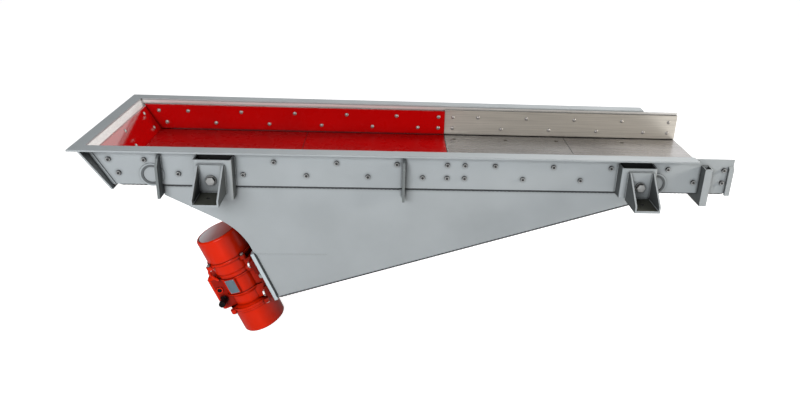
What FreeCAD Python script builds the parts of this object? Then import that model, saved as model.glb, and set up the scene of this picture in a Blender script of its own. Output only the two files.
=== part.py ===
import FreeCAD, Part
import math
import os

# Linear vibratory feeder: a lined steel trough with a sloped inlet end and an open outlet,
# hung on four spring seats and shaken by two unbalance motors on an inclined plate below it.
# X runs from the inlet to the outlet, Y across the trough, Z up. Lengths are millimetres.
# Everything is drawn from the rim's inlet edge and the rim's top, and moved at the end
# so that the origin lies midway between the four spring seat holes, under the seats.

V = FreeCAD.Vector

# Trough
trough_length = 3200.0
wall_inner = 375.0
wall_thickness = 6.0
wall_outer = wall_inner + wall_thickness
rim_thickness = 8.0
wall_bottom = -192.0
floor_thickness = 5.0
floor_top = wall_bottom + floor_thickness
end_slope = math.radians(30.0)
end_top_x = 58.0
end_thickness = 8.0
end_below_wall = 16.0
end_bottom_z = wall_bottom - end_below_wall
end_wing_taper = 34.0
edge_bar_width = 13.0
edge_bar_proud = 5.0
outlet_bar_width = 25.0
outlet_bar_proud = 12.0
outlet_bar_top = -42.0
outlet_bar_below_wall = 9.0
outlet_bar_bottom = wall_bottom - outlet_bar_below_wall
boss_radius = 58.0
boss_bore = 40.0
boss_proud = 3.0
boss_inlet_x = 350.0
boss_outlet_back = 390.0
boss_x = (boss_inlet_x, trough_length - boss_outlet_back)
boss_z = (-141.0, -147.0)

# Rim
rim_inner = wall_inner + 2.0
rim_width = 67.0
rim_half = rim_inner + rim_width
rim_inner_x = 60.0
rim_end_back = 208.0
rim_end_x = trough_length - rim_end_back

# Liners
liner_floor_thickness = 12.0
liner_floor_top = floor_top + liner_floor_thickness
red_thickness = 15.0
steel_thickness = 12.0
end_liner_thickness = 10.0
red_top = -30.0
steel_top = -24.0
end_liner_top = -40.0
liner_joint = 1793.0
liner_gap = 0.4
liner_foot_gap = 4.0
red_floor_joint = 996.0
steel_outlet_length = 690.0
steel_floor_joint = trough_length - steel_outlet_length

# Liner bolts
bolt_radius = 6.0
bolt_hole = 6.5
bolt_head_radius = 11.0
bolt_head_height = 5.0
nut_radius = 11.0
nut_height = 10.0
bolt_tail = 3.0
sunk_depth = 7.0
upper_row_z = -65.0
lower_row_z = -133.0
upper_red = (158.0, 320.0, 618.0, 922.0, 1220.0, 1510.0)
lower_red = (198.0, 473.0, 775.0, 1075.0, 1370.0, 1636.0)
red_edge = 37.0
steel_edge = 49.0
steel_pitch = 290.0
end_bolt_reach = 290.0
end_bolt_y = (-end_bolt_reach, 0.0, end_bolt_reach)
end_bolt_z = (-68.0, -148.0)
floor_bolt_edge = 55.0
floor_bolt_y = 288.0

# Drive frame under the trough
skirt_outer = 371.0
skirt_thickness = 8.0
web_thickness = 8.0
rib_x = 383.0
rib_thickness = 12.0
skirt_start_x = rib_x + rib_thickness
skirt_end_back = 460.0
skirt_end_x = trough_length - skirt_end_back
skirt_lower_slope = math.tan(math.radians(17.4))
skirt_front_depth = 60.0
knee_run = 242.0
knee_depth = 187.0
bow_run = 340.0
bow_depth = 262.0
plate_tilt = math.radians(22.8)
plate_top_run = 406.8
plate_top_depth = 376.3
plate_top = V(skirt_start_x + plate_top_run, 0, wall_bottom - plate_top_depth)
plate_length = 290.0
skirt_on_plate = 281.0
plate_thickness = 18.0
plate_half = skirt_outer + 8.0

# Cross ribs and outlet frame
rib_width = 57.0
rib_half = wall_outer + rib_width
rib_top = -30.0
rib_shoulder = 34.0
rib_shoulder_drop = 16.0
rib_corner_drop = 48.0
rib_below_wall = 51.0
rib_bottom = wall_bottom - rib_below_wall
middle_rib_x = 1538.0
frame_back = 167.0
frame_x = trough_length - frame_back
frame_width = 37.0
frame_depth = 50.0
frame_half = wall_outer + frame_depth
frame_top = -43.0
frame_wall = 4.0

# Spring seats and their channels
seat_inlet_x = 643.0
seat_outlet_back = 497.0
seat_x = (seat_inlet_x, trough_length - seat_outlet_back)
channel_width = 178.0
channel_shift = 6.0
channel_x = (seat_x[0] + channel_shift, seat_x[1] - channel_shift)
channel_depth = 65.0
channel_half = wall_outer + channel_depth
channel_sheet = 8.0
channel_corner = 14.0
channel_top = (-36.0, -40.0)
channel_bottom = (wall_bottom - 48.0, wall_bottom - 6.0)
seat_top_z = -57.0
seat_height = 138.0
seat_base_z = seat_top_z - seat_height
seat_plate = 12.0
seat_depth = 150.0
seat_half = 62.0
gusset_plate = 8.0
gusset_top = 8.0
gusset_nose = 34.0
seat_hole_reach = 77.0
seat_hole_y = channel_half + seat_hole_reach
seat_hole_radius = 9.0
seat_bolt_z = -131.0
seat_bolt_radius = 12.0
seat_washer_radius = 24.0
seat_washer = 5.0
seat_head = 15.0
seat_head_radius = 18.0
seat_nut = 19.0
seat_bolt_tail = 6.0
hex_ratio = 2.0 / math.sqrt(3.0)

# Unbalance motors, drawn upright around their own axis with the feet at negative x
motor_y = 236.0
motor_height = 156.0
motor_along = 158.0
motor_half = 287.5
bell_end = 143.0
bell_height = 58.0
bell_radius = 108.0
bell_taper = 12.0
neck_radius = 92.0
neck_height = 88.0
collar_radius = 114.0
collar = 10.0
body_radius = 101.0
body_bore = 84.0
body_rib = 7.0
body_rib_height = 5.0
body_rib_z = (-52.0, 46.0)
cover_radius = 114.0
cover_wall = 6.0
cover_corner = 12.0
cover_recess = 7.0
cover_land = 10.0
cover_flange_radius = 120.0
cover_flange = 8.0
lug_circle = 124.0
lug_radius = 16.0
lug_height = 14.0
lug_root = 34.0
lug_bolt_radius = 5.0
lug_head_radius = 8.5
lug_head = 7.0
lug_angles = (42.0, 138.0, 222.0, 318.0)
foot_half_width = 130.0
foot_half_length = 122.0
foot_waist_width = 112.0
foot_waist_length = 44.0
foot_thickness = 28.0
foot_corner = 16.0
foot_slot = 36.0
foot_slot_depth = 6.0
foot_pad = 10.0
foot_pad_radius = 23.0
foot_bolt_y = 100.0
foot_bolt_z = 90.0
foot_bolt_radius = 10.0
foot_head_radius = 15.0
foot_head = 13.0
foot_nut = 16.0
foot_bolt_tail = 6.0
saddle_half = 72.0
saddle_short = 24.0
saddle_top = 60.0
saddle_gap = 46.0
box_outer = 136.0
box_root = 70.0
box_wall = 8.0
lid_thickness = 14.0
lid_edge = 3.0
box_half_width = 60.0
box_low = -132.0
box_high = 73.0
box_corner = 20.0
entry_z = (-9.0, -64.0)
entry_x = 116.0
entry_radius = 10.5
entry_boss = 18.0
entry_proud = 5.0
gland_radius = 17.0
gland_nut = 16.0
gland_length = 58.0
plate_angle = math.radians(76.0)
name_width = 54.0
name_length = 80.0
name_z = 8.0
name_pad = 108.0
name_border = 4.0
name_thick = 1.5
shaft_radius = 22.5
shaft_middle = 27.0
shaft_half = 268.0
run_gap = 0.05
fit_gap = 0.1
bearing_radius = 45.0
bearing_width = 28.0
shield_start = bell_end - 36.0
shield_lip = 4.0
core_radius = 55.0
core_half = 60.0
air_gap = 0.8
coil_half = 82.0
coil_inset = 5.0
weight_radius = 98.0
weight_hub = 42.0
weight_thickness = 40.0
weight_starts = (bell_end + 12.0, bell_end + 62.0)


def box(x0, x1, y0, y1, z0, z1):
    return Part.makeBox(x1 - x0, y1 - y0, z1 - z0, V(x0, y0, z0))


def rod(start, axis, radius, length):
    return Part.makeCylinder(radius, length, start, axis)


def xz_plate(points, y0, y1):
    wire = Part.makePolygon([V(x, y0, z) for x, z in points + points[:1]])
    return Part.Face(wire).extrude(V(0, y1 - y0, 0))


def yz_plate(points, x0, x1):
    wire = Part.makePolygon([V(x0, y, z) for y, z in points + points[:1]])
    return Part.Face(wire).extrude(V(x1 - x0, 0, 0))


def xy_plate(points, z0, z1):
    wire = Part.makePolygon([V(x, y, z0) for x, y in points + points[:1]])
    return Part.Face(wire).extrude(V(0, 0, z1 - z0))


def hexagon(start, axis, flat_radius, height):
    direction = V(axis).normalize()
    side = direction.cross(V(0, 0, 1))
    if side.Length < 0.1:
        side = V(1, 0, 0)
    side = side.normalize() * flat_radius * hex_ratio
    corners = []
    for i in range(7):
        corners.append(start + FreeCAD.Rotation(direction, 60.0 * i).multVec(side))
    return Part.Face(Part.makePolygon(corners)).extrude(direction * height)


def turned(points):
    wire = Part.makePolygon([V(r, 0, z) for r, z in points + points[:1]])
    return Part.Face(wire).revolve(V(0, 0, 0), V(0, 0, 1), 360)


def mirrored(shape):
    return shape.mirror(V(0, 0, 0), V(0, 1, 0))


def joined(shapes):
    return shapes[0].multiFuse(shapes[1:]).removeSplitter()


def end_x(z):
    return end_top_x - (z + rim_thickness) * math.tan(end_slope)


def end_offset(distance):
    return distance / math.cos(end_slope)


# Side wall: sheet with a sloped inlet edge, drilled for the liner bolts, with a narrow
# bar along each end edge and two flat round bosses on its outer face
def side_wall():
    top = -rim_thickness
    outline = [(end_x(top), top), (trough_length, top), (trough_length, wall_bottom),
               (end_x(wall_bottom), wall_bottom)]
    sheet = xz_plate(outline, -wall_outer, -wall_inner)
    across = end_offset(edge_bar_width)
    bar = [(end_x(top), top), (end_x(top) + across, top),
           (end_x(wall_bottom) + across, wall_bottom), (end_x(wall_bottom), wall_bottom)]
    inlet_bar = xz_plate(bar, -wall_outer - edge_bar_proud, -wall_outer)
    return joined([sheet, inlet_bar, outlet_bar()] + wall_bosses()).cut(liner_holes())


def outlet_bar():
    outer = -wall_outer - outlet_bar_proud
    profile = [(-wall_outer, outlet_bar_top), (outer, outlet_bar_top - outlet_bar_proud),
               (outer, outlet_bar_bottom), (-wall_outer, outlet_bar_bottom)]
    return yz_plate(profile, trough_length - outlet_bar_width, trough_length)


def wall_bosses():
    rings = []
    for x, z in zip(boss_x, boss_z):
        start = V(x, -wall_outer, z)
        ring = rod(start, V(0, -1, 0), boss_radius, boss_proud)
        rings.append(ring.cut(rod(start, V(0, -1, 0), boss_bore, boss_proud)))
    near_rib = box(rib_x, rib_x + rib_thickness, -rib_half, -wall_outer, rib_bottom, 0)
    channel_side = channel_x[1] + channel_width / 2
    near_channel = box(channel_side - channel_sheet, channel_side, -channel_half, -wall_outer,
                       rib_bottom, 0)
    return [rings[0].cut(near_rib), rings[1].cut(near_channel)]


def steel_rows():
    first = liner_joint + steel_edge
    last = trough_length - steel_edge
    count = int((last - first) / steel_pitch)
    upper = [last - steel_pitch * i for i in range(count + 1)]
    lower = [first + steel_pitch * i for i in range(count + 1)]
    return [first] + upper, lower + [last]


def bolt_places():
    upper, lower = steel_rows()
    edge = liner_joint - red_edge
    places = [(x, upper_row_z) for x in list(upper_red) + [edge] + upper]
    return places + [(x, lower_row_z) for x in list(lower_red) + [edge] + lower]


def liner_holes():
    depth = wall_thickness + red_thickness
    start = -wall_outer - 1
    return Part.Compound([rod(V(x, start, z), V(0, 1, 0), bolt_hole, depth + 2)
                          for x, z in bolt_places()])


# Floor plate between the walls and the sloped end plate with wings past the walls
def floor_plate():
    outline = [(end_x(floor_top), floor_top), (trough_length, floor_top),
               (trough_length, wall_bottom), (end_x(wall_bottom), wall_bottom)]
    return xz_plate(outline, -wall_inner, wall_inner).cut(floor_holes())


def floor_bolt_places():
    rows = [liner_joint + floor_bolt_edge, (liner_joint + steel_floor_joint) / 2,
            steel_floor_joint - floor_bolt_edge, (steel_floor_joint + trough_length) / 2]
    return [(x, y) for x in rows for y in (-floor_bolt_y, floor_bolt_y)]


def floor_holes():
    depth = floor_thickness + liner_floor_thickness
    return Part.Compound([rod(V(x, y, wall_bottom - 1), V(0, 0, 1), bolt_hole, depth + 2)
                          for x, y in floor_bolt_places()])


def end_normal():
    return V(math.cos(end_slope), 0, math.sin(end_slope))


def end_bolt_points():
    return [V(end_x(z), y, z) for z in end_bolt_z for y in end_bolt_y]


def inlet_end_plate():
    top = -rim_thickness
    back = end_offset(end_thickness)
    outline = [(end_x(top), top), (end_x(end_bottom_z), end_bottom_z),
               (end_x(end_bottom_z) - back, end_bottom_z), (end_x(top) - back, top)]
    sheet = xz_plate(outline, -rim_half, rim_half)
    low_half = rim_half - end_wing_taper
    wing = [(-rim_half, top), (rim_half, top), (low_half, end_bottom_z),
            (-low_half, end_bottom_z)]
    return sheet.common(yz_plate(wing, 0, end_x(2 * end_bottom_z))).cut(end_holes())


def end_holes():
    normal = end_normal()
    reach = 2 * (end_thickness + end_liner_thickness)
    return Part.Compound([rod(p - normal * reach, normal, bolt_hole, 2 * reach)
                          for p in end_bolt_points()])


# Rim: flat bars mitred at the inlet corners, ending short of the outlet
def rim_side():
    outline = [(0, -rim_half), (rim_end_x, -rim_half), (rim_end_x, -rim_inner),
               (rim_inner_x, -rim_inner)]
    return xy_plate(outline, -rim_thickness, 0)


def rim_inlet():
    outline = [(0, -rim_half), (rim_inner_x, -rim_inner), (rim_inner_x, rim_inner),
               (0, rim_half)]
    return xy_plate(outline, -rim_thickness, 0)


# Liners: one red run from the inlet and one steel run to the outlet on each wall
def side_liner(top, thickness, x0, x1, sloped):
    reach = end_offset(end_liner_thickness + liner_gap)
    foot = liner_floor_top + liner_foot_gap
    lower_x = end_x(foot) + reach if sloped else x0
    upper_x = end_x(top) + reach if sloped else x0
    outline = [(upper_x, top), (x1, top), (x1, foot), (lower_x, foot)]
    return xz_plate(outline, -wall_inner, -wall_inner + thickness).cut(liner_holes())


def end_liner():
    front = end_offset(end_liner_thickness)
    foot = liner_floor_top
    outline = [(end_x(end_liner_top), end_liner_top),
               (end_x(end_liner_top) + front, end_liner_top),
               (end_x(foot) + front, foot), (end_x(foot), foot)]
    return xz_plate(outline, -wall_inner, wall_inner).cut(end_holes())


def floor_liner(x0, x1, sloped):
    lower_x = end_x(floor_top) if sloped else x0
    upper_x = end_x(liner_floor_top) if sloped else x0
    outline = [(upper_x, liner_floor_top), (x1, liner_floor_top), (x1, floor_top),
               (lower_x, floor_top)]
    return xz_plate(outline, -wall_inner, wall_inner).cut(sunk_holes())


def sunk_bolt(x, y, radius, head):
    depth = liner_floor_top - wall_bottom
    shank = rod(V(x, y, wall_bottom), V(0, 0, 1), radius, depth)
    start = V(x, y, liner_floor_top - sunk_depth)
    return shank.fuse(Part.makeCone(radius, head, sunk_depth, start, V(0, 0, 1)))


def sunk_holes():
    return Part.Compound([sunk_bolt(x, y, bolt_hole, bolt_head_radius + bolt_hole - bolt_radius)
                          for x, y in floor_bolt_places()])


# Bolts with low round heads on the liners and hexagon nuts on the outside
def domed_bolt(seat, direction, grip):
    dome = (bolt_head_radius ** 2 + bolt_head_height ** 2) / (2 * bolt_head_height)
    head = Part.makeSphere(dome, seat - direction * (dome - bolt_head_height))
    keep = rod(seat, direction, bolt_head_radius + 1, bolt_head_height + 1)
    shank = rod(seat - direction * (grip + nut_height + bolt_tail), direction, bolt_radius,
                grip + nut_height + bolt_tail)
    return shank.fuse(head.common(keep))


def wall_bolts():
    bolts = []
    for x, z in bolt_places():
        liner = red_thickness if x < liner_joint else steel_thickness
        seat = V(x, -wall_inner + liner, z)
        bolt = domed_bolt(seat, V(0, 1, 0), liner + wall_thickness)
        bolts += [bolt, mirrored(bolt)]
    for point in end_bolt_points():
        seat = point + end_normal() * end_liner_thickness
        bolts.append(domed_bolt(seat, end_normal(), end_liner_thickness + end_thickness))
    return Part.Compound(bolts)


def ring_nut(start, direction):
    nut = hexagon(start, direction, nut_radius * 0.88, nut_height)
    chamfer = Part.makeCone(nut_radius + 6, nut_radius - 2, nut_height + 1, start, direction)
    bore = rod(start, direction, bolt_radius + run_gap, nut_height)
    return nut.common(chamfer).cut(bore)


def wall_nuts():
    nuts = []
    for x, z in bolt_places():
        nut = ring_nut(V(x, -wall_outer, z), V(0, -1, 0))
        nuts += [nut, mirrored(nut)]
    for point in end_bolt_points():
        nuts.append(ring_nut(point - end_normal() * end_thickness, end_normal() * -1))
    for x, y in floor_bolt_places():
        nuts.append(ring_nut(V(x, y, wall_bottom), V(0, 0, -1)))
    return Part.Compound(nuts)


def floor_bolts():
    bolts = []
    for x, y in floor_bolt_places():
        tail = rod(V(x, y, wall_bottom - nut_height - bolt_tail), V(0, 0, 1), bolt_radius,
                   nut_height + bolt_tail)
        bolts.append(sunk_bolt(x, y, bolt_radius, bolt_head_radius).fuse(tail))
    return Part.Compound(bolts)


# Drive frame: two skirts and a middle web of one outline, butted on the inclined plate
def along_plate(distance, lift):
    down = V(math.sin(plate_tilt), 0, -math.cos(plate_tilt))
    out = V(-math.cos(plate_tilt), 0, -math.sin(plate_tilt))
    return plate_top + down * distance + out * lift


def drive_panel(y0, thickness):
    low = along_plate(skirt_on_plate, 0)
    end_z = low.z + (skirt_end_x - low.x) * skirt_lower_slope
    start = V(skirt_start_x, y0, wall_bottom)
    knee = start + V(knee_run, 0, -knee_depth)
    upper = V(plate_top.x, y0, plate_top.z)
    lead = Part.makePolygon([start, start - V(0, 0, skirt_front_depth), knee])
    curve = Part.Arc(knee, start + V(bow_run, 0, -bow_depth), upper)
    rest = Part.makePolygon([upper, V(low.x, y0, low.z), V(skirt_end_x, y0, end_z),
                             V(skirt_end_x, y0, wall_bottom), start])
    wire = Part.Wire(lead.Edges + [curve.toShape()] + rest.Edges)
    return Part.Face(wire).extrude(V(0, thickness, 0))


def motor_plate():
    corners = [along_plate(0, 0), along_plate(plate_length, 0),
               along_plate(plate_length, plate_thickness), along_plate(0, plate_thickness)]
    plate = xz_plate([(c.x, c.z) for c in corners], -plate_half, plate_half)
    out = along_plate(0, 1) - along_plate(0, 0)
    holes = []
    for side in (-1, 1):
        for y in (-foot_bolt_y, foot_bolt_y):
            for z in (-foot_bolt_z, foot_bolt_z):
                start = along_plate(motor_along + z, -5) + V(0, side * motor_y + y, 0)
                holes.append(rod(start, out, foot_bolt_radius + 1, plate_thickness + 10))
    return plate.cut(Part.Compound(holes))


# Cross ribs: the inlet rib passes under the floor, the middle ones stop on the skirts
def rib_side(inner_low):
    shoulder = -wall_outer - rib_shoulder
    return [(-wall_outer, rib_top), (shoulder, rib_top - rib_shoulder_drop),
            (-rib_half, rib_top - rib_corner_drop), (-rib_half, rib_bottom),
            (-inner_low, rib_bottom), (-inner_low, wall_bottom), (-wall_outer, wall_bottom)]


def inlet_cross_rib():
    near = yz_plate(rib_side(0), rib_x, rib_x + rib_thickness)
    return joined([near, mirrored(near)])


def middle_ribs():
    near = yz_plate(rib_side(skirt_outer), middle_rib_x, middle_rib_x + rib_thickness)
    return Part.Compound([near, mirrored(near)])


# Outlet frame: rectangular tube bent round the trough from below, open at both tops
def outlet_cross_frame():
    x1 = frame_x + frame_width
    outer = box(frame_x, x1, -frame_half, frame_half, rib_bottom, frame_top)
    hollow = box(frame_x + frame_wall, x1 - frame_wall, -frame_half + frame_wall,
                 frame_half - frame_wall, rib_bottom + frame_wall, frame_top)
    lining = box(frame_x, x1, -wall_outer - frame_wall, wall_outer + frame_wall,
                 wall_bottom - frame_wall, frame_top)
    gap = box(frame_x, x1, -wall_outer, wall_outer, wall_bottom, frame_top)
    return outer.cut(hollow.cut(lining)).cut(gap)


# Folded channels on the walls, open at the top, that the spring seats are bolted to
def seat_channel(index):
    half = channel_width / 2
    top = channel_top[index]
    bottom = channel_bottom[index]
    x = channel_x[index]
    solid = box(x - half, x + half, -channel_half, -wall_outer, bottom, top)
    edges = [e for e in solid.Edges if abs(e.CenterOfMass.y + channel_half) < 0.01
             and abs(e.CenterOfMass.x - x) > half - 0.01]
    solid = solid.makeFillet(channel_corner, edges)
    inner = half - channel_sheet
    inside = box(x - inner, x + inner, -channel_half + channel_sheet, -wall_outer + 1,
                 bottom - 1, top + 1)
    inner_edges = [e for e in inside.Edges
                   if abs(e.CenterOfMass.y + channel_half - channel_sheet) < 0.01
                   and abs(e.CenterOfMass.x - x) > inner - 0.01]
    inside = inside.makeFillet(channel_corner - channel_sheet, inner_edges)
    hole = rod(V(seat_x[index], -channel_half - 1, seat_bolt_z), V(0, 1, 0),
               seat_bolt_radius + 1, channel_sheet + 2)
    return solid.cut(inside).cut(hole)


# Spring seat: back plate, two three-cornered gussets and a base plate with one hole
def spring_seat(index):
    x = seat_x[index]
    back = -channel_half - seat_plate
    front = -channel_half - seat_depth
    low = seat_base_z - seat_plate
    outer = seat_half
    parts = [box(x - outer, x + outer, back, -channel_half, low, seat_top_z),
             box(x - outer, x + outer, front, -channel_half, low, seat_base_z)]
    side = [(back, seat_top_z), (back - gusset_top, seat_top_z), (front, low + gusset_nose),
            (front, low), (back, low)]
    parts.append(yz_plate(side, x - outer, x - outer + gusset_plate))
    parts.append(yz_plate(side, x + outer - gusset_plate, x + outer))
    seat = joined(parts)
    bore = rod(V(x, -channel_half + 1, seat_bolt_z), V(0, -1, 0), seat_bolt_radius + 1,
               seat_plate + 2)
    hole = rod(V(x, -seat_hole_y, low - 1), V(0, 0, 1), seat_hole_radius, seat_plate + 2)
    return seat.cut(bore).cut(hole)


def seat_bolt(x):
    face = -channel_half - seat_plate
    washer = rod(V(x, face, seat_bolt_z), V(0, -1, 0), seat_washer_radius, seat_washer)
    head = hexagon(V(x, face - seat_washer, seat_bolt_z), V(0, -1, 0), seat_head_radius,
                   seat_head)
    inside = -channel_half + channel_sheet
    length = inside + seat_nut + seat_bolt_tail - face + seat_washer
    shank = rod(V(x, face - seat_washer, seat_bolt_z), V(0, 1, 0), seat_bolt_radius, length)
    nut = hexagon(V(x, inside, seat_bolt_z), V(0, 1, 0), seat_head_radius, seat_nut)
    return joined([washer, head, shank, nut])


# Motor housing: bored body with an upper bell and a lower neck and collar, saddle and
# feet, terminal box, ribs, lugs for the cover bolts and a flat pad for the plate
def motor_housing():
    bell_low = bell_end - bell_height
    neck_top = -bell_end + neck_height
    shell = turned([(0, -bell_end), (collar_radius, -bell_end),
                    (collar_radius, -bell_end + collar), (neck_radius, -bell_end + 2 * collar),
                    (neck_radius, neck_top - bell_taper), (body_radius, neck_top),
                    (body_radius, bell_low - bell_taper), (bell_radius, bell_low),
                    (bell_radius, bell_end), (0, bell_end)])
    ribs = [turned([(box_root, z), (body_radius + body_rib_height, z),
                    (body_radius + body_rib_height, z + body_rib), (box_root, z + body_rib)])
            for z in body_rib_z]
    solid = joined([shell, motor_feet(), terminal_box()] + ribs + housing_lugs() + [name_seat()])
    bore = rod(V(0, 0, -bell_end), V(0, 0, 1), body_bore, 2 * bell_end)
    return solid.cut(bore).cut(foot_holes()).cut(box_hollow()).cut(entry_holes())


def motor_feet():
    top = -motor_height + foot_thickness
    slab = box(-motor_height, top, -foot_half_width, foot_half_width,
               -foot_half_length, foot_half_length)
    corners = [e for e in slab.Edges if abs(abs(e.CenterOfMass.y) - foot_half_width) < 0.01
               and abs(abs(e.CenterOfMass.z) - foot_half_length) < 0.01]
    slab = slab.makeFillet(foot_corner, corners)
    slot = box(-motor_height, -motor_height + foot_slot_depth, -foot_slot, foot_slot,
               -foot_half_length, foot_half_length)
    notches = [box(-motor_height, top, y0, y1, -foot_waist_length, foot_waist_length)
               for y0, y1 in ((-foot_half_width, -foot_waist_width),
                              (foot_waist_width, foot_half_width))]
    saddle = box(top - 1, -saddle_top, -saddle_half, saddle_half,
                 -bell_end + saddle_short, bell_end - saddle_short)
    sides = box(top, 0, -2 * saddle_half, 2 * saddle_half, -saddle_gap, saddle_gap)
    rib = box(top, 0, -saddle_half + box_wall, saddle_half - box_wall, -saddle_gap, saddle_gap)
    pads = [rod(V(top - foot_thickness / 2, y, z), V(1, 0, 0), foot_pad_radius,
                foot_thickness / 2 + foot_pad)
            for y in (-foot_bolt_y, foot_bolt_y) for z in (-foot_bolt_z, foot_bolt_z)]
    return joined([slab.cut(slot).cut(Part.Compound(notches)), saddle.cut(sides.cut(rib))] + pads)


def foot_holes():
    length = foot_thickness + foot_pad
    return Part.Compound([rod(V(-motor_height - 1, y, z), V(1, 0, 0), foot_bolt_radius + 1,
                              length + 22)
                          for y in (-foot_bolt_y, foot_bolt_y)
                          for z in (-foot_bolt_z, foot_bolt_z)])


def box_block(inset, x0, x1):
    block = box(x0, x1, -box_half_width + inset, box_half_width - inset, box_low + inset,
                box_high - inset)
    edges = [e for e in block.Edges
             if abs(abs(e.CenterOfMass.y) - box_half_width + inset) < 0.01
             and (abs(e.CenterOfMass.z - box_low - inset) < 0.01
                  or abs(e.CenterOfMass.z - box_high + inset) < 0.01)]
    return block.makeFillet(box_corner - inset, edges)


def terminal_box():
    bosses = [rod(V(entry_x, box_half_width - box_wall, z), V(0, 1, 0), entry_boss,
                  box_wall + entry_proud) for z in entry_z]
    return joined([box_block(0, box_root, box_outer)] + bosses)


def box_hollow():
    return box_block(box_wall, body_radius + 2, box_outer)


def entry_holes():
    return Part.Compound([rod(V(entry_x, box_half_width - box_wall - 1, z), V(0, 1, 0),
                              entry_radius, box_wall + entry_proud + 2)
                          for z in entry_z])


def housing_lugs():
    lugs = []
    for angle in lug_angles:
        for z in (-bell_end, bell_end - lug_height):
            arm = rod(lug_point(angle, z), V(0, 0, 1), lug_radius, lug_height)
            root = box(lug_circle - lug_root, lug_circle, -lug_radius, lug_radius,
                       z, z + lug_height)
            root.rotate(V(0, 0, 0), V(0, 0, 1), angle)
            lugs += [arm, root]
    return lugs


def name_seat():
    half_width = name_width / 2 + name_border
    half_length = name_length / 2 + name_border
    pad = box(body_bore, name_pad, -half_width, half_width, name_z - half_length,
              name_z + half_length)
    pad.rotate(V(0, 0, 0), V(0, 0, 1), math.degrees(plate_angle))
    return pad


def nameplate():
    plate = box(name_pad, name_pad + name_thick, -name_width / 2, name_width / 2,
                name_z - name_length / 2, name_z + name_length / 2)
    plate.rotate(V(0, 0, 0), V(0, 0, 1), math.degrees(plate_angle))
    return plate


def terminal_lid():
    lid = box_block(0, box_outer, box_outer + lid_thickness)
    rim = [e for e in lid.Edges if e.BoundBox.XMin > box_outer + lid_thickness - 0.01]
    return lid.makeChamfer(lid_edge, rim)


def cable_gland():
    z = entry_z[1]
    start = V(entry_x, box_half_width + entry_proud, z)
    depth = box_wall + entry_proud
    thread = rod(start - V(0, depth, 0), V(0, 1, 0), entry_radius - run_gap, depth)
    nut = hexagon(start, V(0, 1, 0), gland_radius, gland_nut)
    cap = rod(start + V(0, gland_nut, 0), V(0, 1, 0), gland_radius, gland_length - gland_nut)
    rim = [e for e in cap.Edges if e.CenterOfMass.y > start.y + gland_length - 0.01
           and len(e.Vertexes) == 1]
    return joined([thread, nut, cap.makeFillet(gland_radius / 4, rim)])


# Turned motor pieces: end shields, bearings, stator, shaft and rotor core
def end_shield(side):
    inner = shield_start
    throat = shaft_middle + shield_lip
    shape = turned([(throat, inner), (body_bore - fit_gap, inner),
                    (body_bore - fit_gap, bell_end), (throat, bell_end)])
    pocket = rod(V(0, 0, inner + shield_lip), V(0, 0, 1), bearing_radius, bell_end)
    shape = shape.cut(pocket)
    return shape if side > 0 else shape.mirror(V(0, 0, 0), V(0, 0, 1))


def bearing(side):
    z = shield_start + shield_lip
    outer = bearing_radius - fit_gap
    bore = shaft_radius + run_gap
    shape = turned([(bore, z), (outer, z), (outer, z + bearing_width), (bore, z + bearing_width)])
    return shape if side > 0 else shape.mirror(V(0, 0, 0), V(0, 0, 1))


def stator():
    r0 = core_radius + air_gap
    r1 = body_bore - fit_gap
    coil0 = r0 + coil_inset
    coil1 = r1 - coil_inset
    return turned([(r0, -core_half), (coil0, -core_half), (coil0, -coil_half),
                   (coil1, -coil_half), (coil1, -core_half), (r1, -core_half), (r1, core_half),
                   (coil1, core_half), (coil1, coil_half), (coil0, coil_half),
                   (coil0, core_half), (r0, core_half)])


def rotor_shaft():
    step = shield_start - shield_lip
    return turned([(0, -shaft_half), (shaft_radius, -shaft_half), (shaft_radius, -step),
                   (shaft_middle, -step), (shaft_middle, step), (shaft_radius, step),
                   (shaft_radius, shaft_half), (0, shaft_half)])


def rotor_core():
    bore = shaft_middle + run_gap
    return turned([(bore, -core_half), (core_radius, -core_half),
                   (core_radius, core_half), (bore, core_half)])


# Eccentric weights: thick sectors with a hub, two on each end of the shaft
def eccentric_weight(z):
    hub = rod(V(0, 0, z), V(0, 0, 1), weight_hub, weight_thickness)
    disc = rod(V(0, 0, z), V(0, 0, 1), weight_radius, weight_thickness)
    reach = weight_radius * 1.2
    sector = disc.common(xy_plate([(0, 0), (reach, -reach), (reach, reach)], z,
                                  z + weight_thickness))
    shaft_hole = rod(V(0, 0, z), V(0, 0, 1), shaft_radius + run_gap, weight_thickness)
    return joined([hub, sector]).cut(shaft_hole)


def eccentric_weights():
    starts = list(weight_starts)
    starts += [-z - weight_thickness for z in weight_starts]
    return Part.Compound([eccentric_weight(z) for z in starts])


# Covers: cups over the weights with a recessed end and a lugged flange
def motor_cover(side):
    top = motor_half
    outer = Part.makeCylinder(cover_radius, top - bell_end, V(0, 0, bell_end))
    rim = [e for e in outer.Edges if e.CenterOfMass.z > top - 0.01 and len(e.Vertexes) == 1]
    outer = outer.makeFillet(cover_corner, rim)
    flange = rod(V(0, 0, bell_end), V(0, 0, 1), cover_flange_radius, cover_flange)
    lugs = [rod(lug_point(a, bell_end), V(0, 0, 1), lug_radius, cover_flange)
            for a in lug_angles]
    shape = joined([outer, flange] + lugs)
    inner = cover_radius - cover_wall
    hollow = rod(V(0, 0, bell_end), V(0, 0, 1), inner,
                 top - bell_end - cover_wall - cover_recess)
    recess = Part.makeCone(inner - cover_land, inner - cover_land / 2, cover_recess,
                           V(0, 0, top - cover_recess))
    holes = [rod(lug_point(a, bell_end), V(0, 0, 1), lug_bolt_radius + 0.5, cover_flange)
             for a in lug_angles]
    shape = shape.cut(hollow).cut(recess).cut(Part.Compound(holes))
    return shape if side > 0 else shape.mirror(V(0, 0, 0), V(0, 0, 1))


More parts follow.
